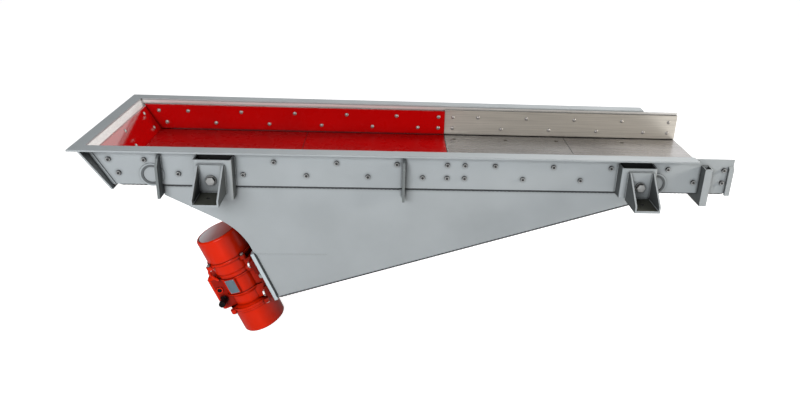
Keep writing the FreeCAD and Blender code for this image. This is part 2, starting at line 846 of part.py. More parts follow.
def lug_point(angle, z):
    a = math.radians(angle)
    return V(lug_circle * math.cos(a), lug_circle * math.sin(a), z)


def cover_bolts():
    bolts = []
    for a in lug_angles:
        for side in (-1, 1):
            face = side * (bell_end + cover_flange)
            point = lug_point(a, face)
            head = hexagon(point, V(0, 0, side), lug_head_radius, lug_head)
            shank = rod(point, V(0, 0, -side), lug_bolt_radius, cover_flange)
            bolts.append(head.fuse(shank))
    return Part.Compound(bolts)


def foot_bolts():
    bolts = []
    for y in (-foot_bolt_y, foot_bolt_y):
        for z in (-foot_bolt_z, foot_bolt_z):
            top = V(-motor_height + foot_thickness + foot_pad, y, z)
            head = hexagon(top, V(1, 0, 0), foot_head_radius, foot_head)
            grip = foot_thickness + foot_pad + plate_thickness
            shank = rod(top, V(-1, 0, 0), foot_bolt_radius, grip + foot_nut + foot_bolt_tail)
            nut = hexagon(top - V(grip, 0, 0), V(-1, 0, 0), foot_head_radius, foot_nut)
            bolts.append(joined([head, shank, nut]))
    return Part.Compound(bolts)


def on_plate(shape, side):
    placed = shape.copy()
    placed.rotate(V(0, 0, 0), V(0, 0, 1), 180)
    placed.rotate(V(0, 0, 0), V(0, 1, 0), -math.degrees(plate_tilt))
    centre = along_plate(motor_along, plate_thickness + motor_height)
    placed.translate(centre + V(0, side * motor_y, 0))
    return placed


def on_both(shape):
    return Part.Compound([on_plate(shape, -1), on_plate(shape, 1)])


def export(name, shape):
    moved = shape.copy()
    middle = (seat_x[0] + seat_x[1]) / 2
    moved.translate(V(-middle, 0, -seat_base_z + seat_plate))
    moved.exportStep("parts/" + name + ".step")


def export_pair(name, shape):
    export(name + "_front", shape)
    export(name + "_rear", mirrored(shape))


def export_trough():
    export_pair("side_wall", side_wall())
    export("floor_plate", floor_plate())
    export("inlet_end_plate", inlet_end_plate())
    export_pair("rim_flange", rim_side())
    export("rim_flange_inlet", rim_inlet())
    red = side_liner(red_top, red_thickness, 0, liner_joint - liner_gap, True)
    export_pair("red_side_liner", red)
    steel = side_liner(steel_top, steel_thickness, liner_joint, trough_length, False)
    export_pair("steel_side_liner", steel)
    export("red_end_liner", end_liner())
    export("red_floor_liner_inlet", floor_liner(0, red_floor_joint - liner_gap, True))
    export("red_floor_liner_middle", floor_liner(red_floor_joint, liner_joint - liner_gap, False))
    export("steel_floor_liner_middle",
           floor_liner(liner_joint, steel_floor_joint - liner_gap, False))
    export("steel_floor_liner_outlet", floor_liner(steel_floor_joint, trough_length, False))
    export("liner_bolts", wall_bolts())
    export("liner_nuts", wall_nuts())
    export("floor_bolts", floor_bolts())


def export_frame():
    export_pair("skirt", drive_panel(-skirt_outer, skirt_thickness))
    export("drive_web", drive_panel(-web_thickness / 2, web_thickness))
    export("motor_plate", motor_plate())
    export("inlet_cross_rib", inlet_cross_rib())
    export("middle_ribs", middle_ribs())
    export("outlet_cross_frame", outlet_cross_frame())
    for index, end in enumerate(("inlet", "outlet")):
        export_pair("seat_channel_" + end, seat_channel(index))
        export_pair("spring_seat_" + end, spring_seat(index))
    near = [seat_bolt(x) for x in seat_x]
    export("seat_bolts", Part.Compound(near + [mirrored(bolt) for bolt in near]))


def export_motors():
    pieces = {"motor_housing": motor_housing(), "upper_end_shield": end_shield(1),
              "lower_end_shield": end_shield(-1), "stator": stator(),
              "rotor_shaft": rotor_shaft(), "rotor_core": rotor_core(),
              "bearings": Part.Compound([bearing(1), bearing(-1)]),
              "eccentric_weights": eccentric_weights(), "upper_cover": motor_cover(1),
              "lower_cover": motor_cover(-1)}
    for name, shape in pieces.items():
        export(name + "_front", on_plate(shape, -1))
        export(name + "_rear", on_plate(shape, 1))
    shared = {"terminal_lids": terminal_lid(), "cable_glands": cable_gland(),
              "nameplates": nameplate(), "foot_bolts": foot_bolts(),
              "cover_bolts": cover_bolts()}
    for name, shape in shared.items():
        export(name, on_both(shape))


os.makedirs("parts", exist_ok=True)
export_trough()
export_frame()
export_motors()
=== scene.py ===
import math
import bpy
import numpy as np
from mathutils import Matrix, Vector


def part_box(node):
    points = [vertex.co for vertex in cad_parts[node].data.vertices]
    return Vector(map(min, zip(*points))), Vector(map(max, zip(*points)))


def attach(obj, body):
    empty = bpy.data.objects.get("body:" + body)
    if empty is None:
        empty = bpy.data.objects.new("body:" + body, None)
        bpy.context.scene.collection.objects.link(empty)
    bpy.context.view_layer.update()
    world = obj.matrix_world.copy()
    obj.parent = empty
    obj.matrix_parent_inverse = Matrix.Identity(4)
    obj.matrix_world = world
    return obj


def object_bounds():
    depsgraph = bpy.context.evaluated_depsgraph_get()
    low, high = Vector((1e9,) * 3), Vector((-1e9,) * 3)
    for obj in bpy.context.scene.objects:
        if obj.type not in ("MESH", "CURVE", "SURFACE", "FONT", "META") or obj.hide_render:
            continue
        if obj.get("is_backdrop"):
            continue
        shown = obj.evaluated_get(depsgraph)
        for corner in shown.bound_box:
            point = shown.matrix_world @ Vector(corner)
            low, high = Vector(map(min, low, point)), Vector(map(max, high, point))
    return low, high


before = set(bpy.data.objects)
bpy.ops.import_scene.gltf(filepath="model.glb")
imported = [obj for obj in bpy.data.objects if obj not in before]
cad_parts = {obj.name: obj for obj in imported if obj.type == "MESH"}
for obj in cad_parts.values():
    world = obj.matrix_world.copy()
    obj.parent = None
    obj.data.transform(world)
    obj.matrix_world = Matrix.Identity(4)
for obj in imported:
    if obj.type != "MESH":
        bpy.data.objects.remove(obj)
cad_low, cad_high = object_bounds()

# Trough walls, rim, drive frame and cross frame: plate and sheet steel, cut, folded and welded,
# then sprayed in one coat of light blue-grey semi-gloss paint. The paint has a fine skin, slow
# changes of shade, softened plate edges and painted shade in its corners.
WALL_NODES = ["side_wall_front", "side_wall_rear"]
GREY_NODES = ["inlet_end_plate", "floor_plate", "rim_flange_front", "rim_flange_rear",
              "rim_flange_inlet", "skirt_front", "skirt_rear", "drive_web", "motor_plate",
              "outlet_cross_frame"]
GREY = (0.40, 0.435, 0.455)


def new_material(name):
    """A new material with its node tree and its shader."""
    material = bpy.data.materials.new(name)
    material.use_nodes = True
    return material, material.node_tree, material.node_tree.nodes["Principled BSDF"]


def feed(tree, socket, value):
    """Links another socket to a socket, or sets it to a plain value."""
    if isinstance(value, bpy.types.NodeSocket):
        tree.links.new(value, socket)
    else:
        socket.default_value = value


def noise(tree, scale, detail=3.0, stretch=(1.0, 1.0, 1.0)):
    """Noise over Object coordinates, each axis multiplied by its own stretch."""
    place = tree.nodes.new("ShaderNodeTexCoord")
    mapping = tree.nodes.new("ShaderNodeMapping")
    mapping.inputs["Scale"].default_value = stretch
    texture = tree.nodes.new("ShaderNodeTexNoise")
    texture.inputs["Scale"].default_value = scale
    texture.inputs["Detail"].default_value = detail
    tree.links.new(place.outputs["Object"], mapping.inputs["Vector"])
    tree.links.new(mapping.outputs["Vector"], texture.inputs["Vector"])
    return texture.outputs["Fac"]


def ramp(tree, factor, stops):
    """Colour ramp through (place, colour) stops, driven by a factor."""
    node = tree.nodes.new("ShaderNodeValToRGB")
    while len(node.color_ramp.elements) < len(stops):
        node.color_ramp.elements.new(0.5)
    for element, (place, colour) in zip(node.color_ramp.elements, stops):
        element.position = place
        element.color = tuple(colour) + (1.0,)
    tree.links.new(factor, node.inputs["Fac"])
    return node.outputs["Color"]


def mapped(tree, value, start, end, low, high=1.0):
    """A value stretched so that start..end becomes low..high, and held at both ends."""
    node = tree.nodes.new("ShaderNodeMapRange")
    for name, number in (("From Min", start), ("From Max", end), ("To Min", low), ("To Max", high)):
        node.inputs[name].default_value = number
    tree.links.new(value, node.inputs["Value"])
    return node.outputs["Result"]


def scaled(tree, colour, level):
    """A colour times a level."""
    node = tree.nodes.new("ShaderNodeVectorMath")
    node.operation = "SCALE"
    tree.links.new(colour, node.inputs[0])
    feed(tree, node.inputs["Scale"], level)
    return node.outputs["Vector"]


def grain(tree, shader, height, strength, distance, edge):
    """Bump from a height, on normals that are rounded over the plate edges."""
    bevel = tree.nodes.new("ShaderNodeBevel")
    bevel.samples = 4
    bevel.inputs["Radius"].default_value = edge
    bump = tree.nodes.new("ShaderNodeBump")
    bump.inputs["Strength"].default_value = strength
    bump.inputs["Distance"].default_value = distance
    tree.links.new(bevel.outputs["Normal"], bump.inputs["Normal"])
    tree.links.new(height, bump.inputs["Height"])
    tree.links.new(bump.outputs["Normal"], shader.inputs["Normal"])


def painted_corner_shade(tree, colour, reach, start, end, depth):
    """Painted shade in corners: the colour times a level that rises from depth to 1 with openness.
    """
    openness = tree.nodes.new("ShaderNodeAmbientOcclusion")
    openness.samples = 8
    openness.inputs["Distance"].default_value = reach
    return scaled(tree, colour, mapped(tree, openness.outputs["AO"], start, end, depth))


def shades(colour, *factors):
    """The colour times each factor, held at 1."""
    return [tuple(min(1.0, c * f) for c in colour) for f in factors]


def paint(name, colour, low, high, shine=0.5, coat=0.0, corner=0.2, pocket=0.25, skin=0.12):
    """Sprayed paint: slow changes of shade, painted shade in corners and pockets, a fine skin. Its
    roughness lies between low and high; corner and pocket are the colour's darkest levels."""
    material, tree, shader = new_material(name)
    dark, plain, light = shades(colour, 0.93, 1.0, 1.06)
    coloured = ramp(tree, noise(tree, 3.2, 4.0), [(0.3, dark), (0.5, plain), (0.72, light)])
    seams = painted_corner_shade(tree, coloured, 0.016, 0.5, 0.95, corner)
    tree.links.new(painted_corner_shade(tree, seams, 0.13, 0.15, 0.6, pocket), shader.inputs["Base Color"])
    tree.links.new(mapped(tree, noise(tree, 14.0), 0.0, 1.0, low, high), shader.inputs["Roughness"])
    shader.inputs["Specular IOR Level"].default_value = shine
    shader.inputs["Coat Weight"].default_value = coat
    shader.inputs["Coat Roughness"].default_value = 0.06
    grain(tree, shader, noise(tree, 420.0, 2.0), skin, 0.0008, 0.0014)
    return material


def dress(material, *nodes):
    """Gives whole nodes one finish."""
    for name in nodes:
        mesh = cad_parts[name].data
        mesh.materials.clear()
        mesh.materials.append(material)


grey_paint = paint("grey_paint", GREY, 0.34, 0.50, shine=0.3)
dress(grey_paint, *GREY_NODES, *WALL_NODES)

# Spring seats and ribs: the seats in the same grey paint, the ribs a darker grey as painted shade.
# Painted shade also turns their flanks near-black and the seats' base plates a dark olive.
SIDES = ("_front", "_rear")
CORNERS = [end + side for end in ("inlet", "outlet") for side in SIDES]
SEATS = ["spring_seat_" + corner for corner in CORNERS]
RIBS = ["inlet_cross_rib", "middle_ribs"]
SEAT_BASE_Z = 0.03


def faces_of(name):
    """Centres and normals of a node's faces, as two arrays with one row a face."""
    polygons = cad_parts[name].data.polygons
    centres, normals = np.empty(3 * len(polygons)), np.empty(3 * len(polygons))
    polygons.foreach_get("center", centres)
    polygons.foreach_get("normal", normals)
    return centres.reshape(-1, 3), normals.reshape(-1, 3)


def dress_part(material, name, chosen):
    """Gives the chosen faces of a node one more finish."""
    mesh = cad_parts[name].data
    index = np.empty(len(mesh.polygons), np.int32)
    mesh.polygons.foreach_get("material_index", index)
    index[chosen] = len(mesh.materials)
    mesh.materials.append(material)
    mesh.polygons.foreach_set("material_index", index)


seat_base_shade = paint("seat_base_shade", (0.065, 0.068, 0.056), 0.6, 0.8, shine=0.2, corner=0.4, pocket=0.5)
flank_shade_paint = paint("flank_shade_paint", (0.082, 0.091, 0.094), 0.45, 0.6,
                    shine=0.2, corner=0.3, pocket=0.5)
rib_shade_paint = paint("rib_shade_paint", (0.19, 0.21, 0.215), 0.45, 0.6, shine=0.3, corner=0.3, pocket=0.5)
dress(rib_shade_paint, *RIBS)
dress(grey_paint, *SEATS)
for name in RIBS + ["outlet_cross_frame"] + SEATS:
    centres, normals = faces_of(name)
    dress_part(flank_shade_paint, name, np.abs(normals[:, 0]) > 0.9)
    if name in SEATS:
        dress_part(seat_base_shade, name, (normals[:, 2] > 0.9) & (centres[:, 2] < SEAT_BASE_Z))

# Boss rings on the walls: turned rings, welded on and left darker by handling. Their outer
# edge is feathered into the walls' paint.
RING_PLACES = ((-1.323, 0.066), (1.137, 0.060))
RING_FACE_Y = (0.3815, 0.3845)
RING_REACH, DARK_REACH, FEATHER, WALL_SHADE = 0.062, 0.0495, 0.0025, 3.15
BEHIND_RIB_X = -1.27


def recolour(material, change):
    """Puts a change between a material's colour and its shader."""
    tree = material.node_tree
    base = tree.nodes["Principled BSDF"].inputs["Base Color"]
    tree.links.new(change(tree, base.links[0].from_socket), base)


def worked(tree, operation, *values):
    """The result of one sum on sockets and numbers."""
    node = tree.nodes.new("ShaderNodeMath")
    node.operation = operation
    for socket, value in zip(node.inputs, values):
        feed(tree, socket, value)
    return node.outputs["Value"]


def feathered(tree, colour):
    """The colour inside the dark reach round the nearer ring centre, measured in X and Z, and
    the walls' lighter shade outside it, with a soft step between them."""
    place = tree.nodes.new("ShaderNodeTexCoord")
    flat = tree.nodes.new("ShaderNodeVectorMath")
    flat.operation = "MULTIPLY"
    flat.inputs[1].default_value = (1.0, 0.0, 1.0)
    tree.links.new(place.outputs["Object"], flat.inputs[0])
    spans = []
    for x, z in RING_PLACES:
        span = tree.nodes.new("ShaderNodeVectorMath")
        span.operation = "DISTANCE"
        span.inputs[1].default_value = (x, 0.0, z)
        tree.links.new(flat.outputs["Vector"], span.inputs[0])
        spans.append(span.outputs["Value"])
    nearer = worked(tree, "MINIMUM", *spans)
    level = mapped(tree, nearer, DARK_REACH, DARK_REACH + FEATHER, 1.0, WALL_SHADE)
    return scaled(tree, colour, level)


ring_paint = paint("ring_paint", (0.125, 0.137, 0.144), 0.4, 0.55, shine=0.3)
recolour(ring_paint, feathered)
for name in WALL_NODES:
    centres, normals = faces_of(name)
    level = np.abs(centres[:, 1])
    ring_x, ring_z = np.where(centres[:, :1] < 0.0, *RING_PLACES).T
    reach = np.hypot(centres[:, 0] - ring_x, centres[:, 2] - ring_z)
    dress_part(ring_paint, name, (level > RING_FACE_Y[0]) & (level < RING_FACE_Y[1])
               & (reach < RING_REACH) & (np.abs(centres[:, 0] - BEHIND_RIB_X) > 0.01))

# Inner faces of the walls: they carry no paint above the liners, only the bare galvanised
# sheet, bright and softly mirrored, with fine lengthwise rolling marks.
WALL_INNER_Y = 0.375
ALONG_X = (0.05, 1.0, 3.0)


def brushed(name, colour, low, high, stretch, metallic, corner=0.35):
    """Rolled or brushed metal: streaks in colour, roughness and height, painted shade in corners.
    Its roughness lies between low and high, and stretch makes the streaks long along one axis."""
    material, tree, shader = new_material(name)
    streaks = noise(tree, 60.0, 5.0, stretch)
    dark, plain, light = shades(colour, 0.86, 1.0, 1.1)
    coloured = ramp(tree, streaks, [(0.3, dark), (0.5, plain), (0.7, light)])
    tree.links.new(painted_corner_shade(tree, coloured, 0.016, 0.5, 0.9, corner), shader.inputs["Base Color"])
    tree.links.new(mapped(tree, streaks, 0.0, 1.0, low, high), shader.inputs["Roughness"])
    shader.inputs["Metallic"].default_value = metallic
    grain(tree, shader, streaks, 0.1, 0.0003, 0.0006)
    return material


bare_sheet = brushed("bare_sheet", (0.72, 0.715, 0.70), 0.30, 0.45, ALONG_X, 0.6)
for name in WALL_NODES:
    centres, normals = faces_of(name)
    inner = (np.abs(centres[:, 1]) < WALL_INNER_Y + 0.0005) & (np.abs(normals[:, 1]) > 0.9)
    dress_part(bare_sheet, name, inner)

# End plate: its face towards the trough is bare sheet between the walls, and painted shade darkens
# the wings that stand past them.


def along_axis(tree, axis):
    """The Object coordinate along one axis."""
    place = tree.nodes.new("ShaderNodeTexCoord")
    split = tree.nodes.new("ShaderNodeSeparateXYZ")
    tree.links.new(place.outputs["Object"], split.inputs["Vector"])
    return split.outputs[axis]


def blended(tree, factor, first, second, kind="RGBA"):
    """First where a factor is 0, second where it is 1."""
    node = tree.nodes.new("ShaderNodeMix")
    node.data_type = kind
    for name, value in (("Factor", factor), ("A", first), ("B", second)):
        feed(tree, node.inputs[name], value)
    return node.outputs["Result"]


def bare_inside_shaded_wings(tree, colour):
    """A third of the colour on the wings as painted shade, and streaked bare sheet where the
    distance from the middle plane is under the walls' inner one."""
    off_middle = worked(tree, "ABSOLUTE", along_axis(tree, "Y"))
    inside = worked(tree, "LESS_THAN", off_middle, WALL_INNER_Y)
    bare = ramp(tree, noise(tree, 60.0, 5.0, ALONG_X),
                [(0.3, (0.62, 0.615, 0.60)), (0.7, (0.78, 0.775, 0.76))])
    metallic = tree.nodes["Principled BSDF"].inputs["Metallic"]
    tree.links.new(worked(tree, "MULTIPLY", inside, 0.6), metallic)
    return blended(tree, inside, scaled(tree, colour, 0.3), bare)


end_plate_bare_and_shade = grey_paint.copy()
end_plate_bare_and_shade.name = "end_plate_bare_and_shade"
recolour(end_plate_bare_and_shade, bare_inside_shaded_wings)
centres, normals = faces_of("inlet_end_plate")
dress_part(end_plate_bare_and_shade, "inlet_end_plate", normals[:, 0] > 0.8)

# Seat channels: folded from the same sheet, painted grey with shaded flanks. Painted shade turns
# their insides, the wall strip behind each channel and the seats' spring bores near-black.
CHANNELS = ["seat_channel_" + corner for corner in CORNERS]
STRIP_X, STRIP_HALF, STRIP_TOP = 1.024, 0.0805, 0.172
CHANNEL_INNER_HALF = 0.0285
SEAT_X, BORE_Y, BORE_REACH = 1.030, 0.523, 0.0095


def shade_under_channels(tree, colour):
    """Painted shade: the colour cut to a twentieth on the wall strips between channel sides."""
    strip = worked(tree, "COMPARE", worked(tree, "ABSOLUTE", along_axis(tree, "X")),
                   STRIP_X, STRIP_HALF)
    below = worked(tree, "LESS_THAN", along_axis(tree, "Z"), STRIP_TOP)
    covered = worked(tree, "MULTIPLY", strip, below)
    return scaled(tree, colour, worked(tree, "MULTIPLY_ADD", covered, -0.95, 1.0))


wall_paint = grey_paint.copy()
wall_paint.name = "wall_paint"
recolour(wall_paint, shade_under_channels)
for name in WALL_NODES:
    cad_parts[name].data.materials[0] = wall_paint

recess_shade = paint("recess_shade", (0.035, 0.036, 0.038), 0.55, 0.75, shine=0.2)
dress(grey_paint, *CHANNELS)
for name in CHANNELS:
    low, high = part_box(name)
    middle = (low + high) / 2
    centres, normals = faces_of(name)
    inner_web = normals[:, 1] * np.sign(middle.y) < -0.5
    inner_side = (centres[:, 0] - middle.x) * normals[:, 0] < -0.001
    deep = np.abs(centres[:, 1]) < abs(middle.y) + CHANNEL_INNER_HALF
    dress_part(flank_shade_paint, name, np.abs(normals[:, 0]) > 0.9)
    dress_part(recess_shade, name, (inner_web | inner_side) & deep & (np.abs(normals[:, 2]) < 0.5))
for name in SEATS:
    centres, normals = faces_of(name)
    reach = np.hypot(np.abs(centres[:, 0]) - SEAT_X, np.abs(centres[:, 1]) - BORE_Y)
    dress_part(recess_shade, name, (reach < BORE_REACH) & (np.abs(normals[:, 2]) < 0.5))

# Red liners at the inlet: wear plastic, moulded deep red and bolted on. The sloped end liner
# has a polished skin that mirrors the light.
RED = (0.42, 0.0006, 0.001)
red_liner = paint("red_liner", RED, 0.22, 0.34, shine=0.1, corner=0.4, pocket=0.5)
dress(red_liner, "red_side_liner_front", "red_side_liner_rear", "red_floor_liner_inlet",
      "red_floor_liner_middle")
red_polish = paint("red_polish", RED, 0.06, 0.10, shine=1.0, coat=0.3, corner=0.4, pocket=0.5,
                   skin=0.03)
red_polish.node_tree.nodes["Principled BSDF"].inputs["IOR"].default_value = 1.9
dress(red_polish, "red_end_liner")

# Steel liners from the middle to the outlet: rolled stainless wear sheet, brushed lengthwise,
# so its streaks are long in X and fine across. The last one is lighter, most of all at the outlet.
ACROSS_Y = (0.05, 3.0, 1.0)
DULL_UP_TO_X, BRIGHT_FROM_X = 1.02, 1.20
steel_liner = brushed("steel_liner", (0.56, 0.53, 0.48), 0.26, 0.40, ALONG_X, 0.6, corner=0.2)
dress(steel_liner, "steel_side_liner_front", "steel_side_liner_rear")
steel_floor = brushed("steel_floor", (0.31, 0.305, 0.305), 0.20, 0.34, ACROSS_Y, 0.8, corner=0.2)
dress(steel_floor, "steel_floor_liner_middle")


def lighter_towards_outlet(tree, colour):
    """The colour, held at two thirds up to one place in X and whole from another on."""
    level = mapped(tree, along_axis(tree, "X"), DULL_UP_TO_X, BRIGHT_FROM_X, 0.66)
    return scaled(tree, colour, level)


graded_outlet_floor = brushed("graded_outlet_floor", (0.44, 0.425, 0.42), 0.20, 0.34, ACROSS_Y, 0.8, corner=0.2)
recolour(graded_outlet_floor, lighter_towards_outlet)
dress(graded_outlet_floor, "steel_floor_liner_outlet")

# Bolts and nuts: zinc-plated steel with a dull bright face. The nuts' flanks, the washers and
# the bolts' ends outside the walls are painted near-black as shade, and the sunk floor bolts
# are rubbed brown by the material.
EVEN = (1.0, 1.0, 1.0)
OUTSIDE_WALL_Y, SEAT_WASHER_Y = 0.38, 0.464
FLANKS, ALL_FACES = 0.6, 2.0
zinc = brushed("zinc", (0.56, 0.57, 0.57), 0.28, 0.42, EVEN, 0.7, corner=0.1)
dress(zinc, "liner_nuts", "seat_bolts", "foot_bolts", "cover_bolts")
dull_zinc = brushed("dull_zinc", (0.33, 0.32, 0.31), 0.4, 0.5, EVEN, 0.6, corner=0.1)
dress(dull_zinc, "liner_bolts")
bolt_flank_shade = paint("bolt_flank_shade_steel", (0.035, 0.036, 0.038), 0.3, 0.45)
for name, start, limit in (("liner_nuts", OUTSIDE_WALL_Y, FLANKS),
                           ("liner_bolts", OUTSIDE_WALL_Y, ALL_FACES),
                           ("seat_bolts", SEAT_WASHER_Y, FLANKS)):
    centres, normals = faces_of(name)
    dress_part(bolt_flank_shade, name, (np.abs(normals[:, 1]) < limit) & (np.abs(centres[:, 1]) > start))
rubbed_steel = brushed("rubbed_steel", (0.06, 0.05, 0.04), 0.3, 0.5, EVEN, 0.5)
dress(rubbed_steel, "floor_bolts")

# Weld beads where ribs, channels and seats are joined: rippled fillets, sprayed over with the
# same grey paint.
WALL_Y, SKIRT_Y = 0.381, 0.371
SEAT_BACK_Y, SEAT_HALF, GUSSET = 0.458, 0.062, 0.008
RIB_WELD, CHANNEL_WELD, SEAT_WELD = 0.0035, 0.004, 0.003


def swept(path, profile, up, swell=None, closed=False):
    """A closed profile carried along a path: point (i, j) is path point i plus profile point j,
    laid along the path's side and up directions there and scaled by swell i."""
    path = np.asarray(path, float)
    ahead = np.roll(path, -1, 0) - np.roll(path, 1, 0)
    if not closed:
        ahead[0], ahead[-1] = path[1] - path[0], path[-1] - path[-2]
    ahead /= np.linalg.norm(ahead, axis=1)[:, None]
    side = np.cross(np.broadcast_to(up, ahead.shape), ahead)
    side /= np.linalg.norm(side, axis=1)[:, None]
    top = np.cross(ahead, side)
    swell = np.ones(len(path)) if swell is None else swell
    across = (profile[:, 0] * swell[:, None])[..., None] * side[:, None]
    rising = (profile[:, 1] * swell[:, None])[..., None] * top[:, None]
    return path[:, None] + across + rising, closed


def round_profile(radius, sides=8):
    """A circle of points round the path, the first one half a step from the side direction."""
    angle = 2 * math.pi * (np.arange(sides) + 0.5) / sides
    return radius * np.column_stack([np.cos(angle), np.sin(angle)])


def bead(start, end, radius, up=(0.31, 0.2, 0.93), pitch=0.006):
    """Rippled bead from start to end: its radius swells by an eighth at every ripple and
    tapers over the last ripple at each end."""
    start, end = np.asarray(start, float), np.asarray(end, float)
    length = np.linalg.norm(end - start)
    along = np.linspace(0.0, 1.0, max(9, int(length / pitch * 4)))
    ripple = 1.0 + 0.12 * np.cos(2 * math.pi * along * length / pitch)
    taper = np.clip(np.minimum(along, 1.0 - along) * length / pitch + 0.35, 0.0, 1.0)
    return swept(start + along[:, None] * (end - start), round_profile(radius), up, ripple * taper)


def add_piece(name, surfaces, material, body="feeder"):
    """One object from grids of points: quads between rings, flat caps on the open ends."""
    points, faces, start = [], [], 0
    for grid, closed in surfaces:
        rings, sides = grid.shape[:2]
        index = start + np.arange(rings * sides).reshape(rings, sides)
        here, after = (index, np.roll(index, -1, 0)) if closed else (index[:-1], index[1:])
        quads = [here, np.roll(here, -1, 1), np.roll(after, -1, 1), after]
        faces += np.stack(quads, -1).reshape(-1, 4).tolist()
        if not closed:
            faces += [index[0, ::-1].tolist(), index[-1].tolist()]
        points.append(grid.reshape(-1, 3))
        start += rings * sides
    mesh = bpy.data.meshes.new(name)
    mesh.from_pydata(np.concatenate(points).tolist(), [], faces)
    mesh.shade_smooth()
    mesh.set_sharp_from_angle(angle=math.radians(40))
    mesh.materials.append(material)
    piece = bpy.data.objects.new(name, mesh)
    bpy.context.collection.objects.link(piece)
    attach(piece, body)


rib_runs, channel_runs, seat_runs = [], [], []
for sign in (-1.0, 1.0):
    wall, skirt = sign * WALL_Y, sign * SKIRT_Y
    for x in (-1.290, -1.278, -0.135, -0.123):
        rib_runs.append(bead((x, wall, 0.017), (x, wall, 0.176), RIB_WELD))
    for x in (-0.135, -0.123):
        rib_runs.append(bead((x, skirt, -0.035), (x, skirt, 0.012), RIB_WELD))
    for x, top in ((-1.024, 0.170), (1.024, 0.166)):
        for edge in (-0.089, 0.089):
            channel_runs.append(bead((x + edge, wall, 0.016), (x + edge, wall, top),
                                     CHANNEL_WELD))
    back = sign * SEAT_BACK_Y
    for middle in (-SEAT_X, SEAT_X):
        for edge in (-1.0, 1.0):
            inner, outer = middle + edge * (SEAT_HALF - GUSSET), middle + edge * SEAT_HALF
            seat_runs += [
                bead((inner, back, 0.014), (inner, back, 0.146), SEAT_WELD),
                bead((inner, sign * 0.462, 0.012), (inner, sign * 0.592, 0.012), SEAT_WELD),
                bead((outer, sign * 0.447, 0.004), (outer, sign * 0.447, 0.146), SEAT_WELD)]
        left, right = middle - SEAT_HALF, middle + SEAT_HALF
        seat_runs += [
            bead((left + 0.010, back, 0.012), (right - 0.010, back, 0.012), SEAT_WELD),
            bead((left, sign * 0.4475, 0.151), (right, sign * 0.4475, 0.151), SEAT_WELD)]
add_piece("rib_welds", rib_runs, grey_paint)
add_piece("channel_welds", channel_runs, grey_paint)
add_piece("seat_welds", seat_runs, grey_paint)

# Motor plate and skirt edges: the sawn ends of the plate and the front edges of the skirts
# carry a painted highlight and look paler than the sheets.
SKIRT_FRONT_X = -0.86
edge_highlight_paint = paint("edge_highlight_paint", (0.56, 0.63, 0.67), 0.34, 0.50, shine=0.35)
centres, normals = faces_of("motor_plate")
dress_part(edge_highlight_paint, "motor_plate", np.abs(normals[:, 1]) > 0.9)
for name in ("skirt_front", "skirt_rear"):
    centres, normals = faces_of(name)
    dress_part(edge_highlight_paint, name, (np.abs(normals[:, 1]) < 0.5) & (centres[:, 0] < SKIRT_FRONT_X))

# Skirt seam: each skirt is made of two sheets, with a flat ground weld between them at the
# height of the motor plate's upper edge.
SEAM_Z = -0.366
seams = [bead((-0.862, y, SEAM_Z), (-0.50, y, SEAM_Z), 0.0026, pitch=0.012)
         for y in (-0.3695, 0.3695)]
add_piece("skirt_seams", seams, grey_paint)

# Wall edge shadow: a dark bead under the lower edge of each wall stands in for the shadow of
# the edge, wide where the wall laps over the skirt and thin past it, in runs that stop at the
# ribs and channels.
WIDE_BEAD, THIN_BEAD, SOFT_PITCH = (0.3735, 0.0105, 0.0072), (0.3765, 0.0125, 0.0042), 0.02
# One dark bead finish: sealant in the floor joints, painted shadow along the wall and skirt edges.
sealant_and_shade = paint("dark_sealant_and_shade", (0.045, 0.05, 0.054), 0.5, 0.65, shine=0.3)
wall_runs = []
for sign in (-1.0, 1.0):
    for start, end, (y, z, radius) in (
            (-1.276, -0.137, WIDE_BEAD), (-0.121, 1.064, WIDE_BEAD), (-1.478, -1.292, THIN_BEAD),
            (1.069, 1.358, THIN_BEAD), (1.399, 1.500, THIN_BEAD)):
        wall_runs.append(bead((start, sign * y, z), (end, sign * y, z), radius, pitch=SOFT_PITCH))
add_piece("wall_edge_shadow_bead", wall_runs, sealant_and_shade)

# Liner seams: flat dark strips of sealant in the two joints at the steel floor liners, a dark
# red one in the joint of the red ones, and red fillets along the feet of the red side liners.
FLOOR_JOINT_Z, FLOOR_HALF = 0.032, 0.352
red_seal = paint("red_sealant", (0.15, 0.0015, 0.002), 0.3, 0.45, shine=0.2)


def floor_strip(x):
    """A flat oval profile carried straight across the floor at one place in X."""
    path = [(x, y, FLOOR_JOINT_Z) for y in (-FLOOR_HALF, 0.0, FLOOR_HALF)]
    return swept(path, round_profile(1.0) * (0.0022, 0.0008), (0.0, 0.0, 1.0))


add_piece("steel_floor_joints", [floor_strip(0.120), floor_strip(0.837)], sealant_and_shade)
feet = [bead((-1.452, y, 0.0345), (0.118, y, 0.0345), 0.0042, pitch=SOFT_PITCH)
        for y in (-0.3605, 0.3605)]
add_piece("red_liner_seams", [floor_strip(-0.677)] + feet, red_seal)

# Plate and skirt beads: the same dark bead fills the corner between the motor plate and each
# skirt as painted shadow, and a thin one lines the cut lower edge of the skirts to their ends.
PLATE_TOP = np.array([-0.8712, 0.0, -0.3613])
PLATE_DOWN, PLATE_OUT = np.array([0.3875, 0.0, -0.9219]), np.array([-0.9219, 0.0, -0.3875])
edge_runs = []
for sign in (-1.0, 1.0):
    corner = PLATE_TOP - 0.0025 * PLATE_OUT + (0.0, sign * 0.3725, 0.0)
    edge_runs.append(bead(corner + 0.004 * PLATE_DOWN, corner + 0.280 * PLATE_DOWN, 0.0058,
                          (0.0, 1.0, 0.0), pitch=SOFT_PITCH))
    edge_runs.append(bead((-0.758, sign * 0.3690, -0.6195), (1.060, sign * 0.3690, -0.0490),
                          0.0045, pitch=SOFT_PITCH))
add_piece("skirt_edge_dark_beads", edge_runs, sealant_and_shade)

